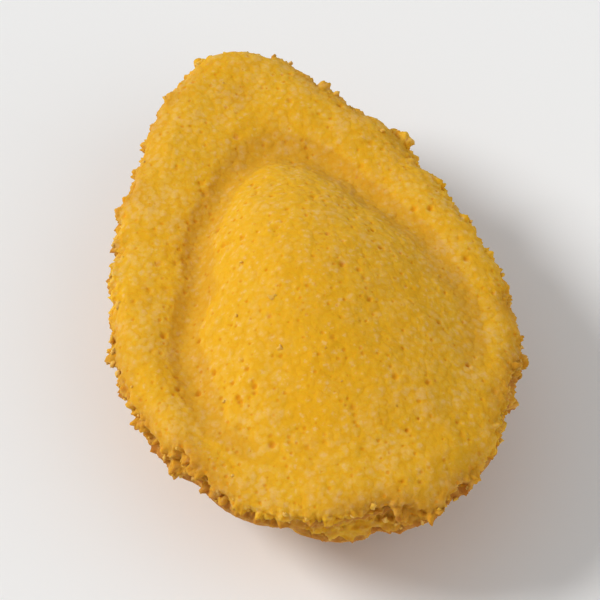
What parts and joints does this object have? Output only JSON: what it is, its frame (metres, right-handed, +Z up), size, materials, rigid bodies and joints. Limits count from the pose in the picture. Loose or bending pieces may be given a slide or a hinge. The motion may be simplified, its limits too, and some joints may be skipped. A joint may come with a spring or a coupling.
{
  "type": "madeleine cake",
  "caption": "Shell-shaped sponge cake lying on its ribbed side: puffed brim, soft crease and low hump on top, crumbly rim, radiating ribs below.",
  "frame": {"origin": "centre of the bounding box in plan, at the level of the small flat spot that the cake rests on", "axes": "+Y along the cake, from the broad end to the narrow hinge end; +Z up, out of the hump side; +X across, to the right when looking along +Y"},
  "size_m": [0.0492, 0.075, 0.0252],
  "materials": {
    "crumb": "matt"
  },
  "bodies": {
    "root": {"madeleine": "crumb"}
  },
  "joints": []
}
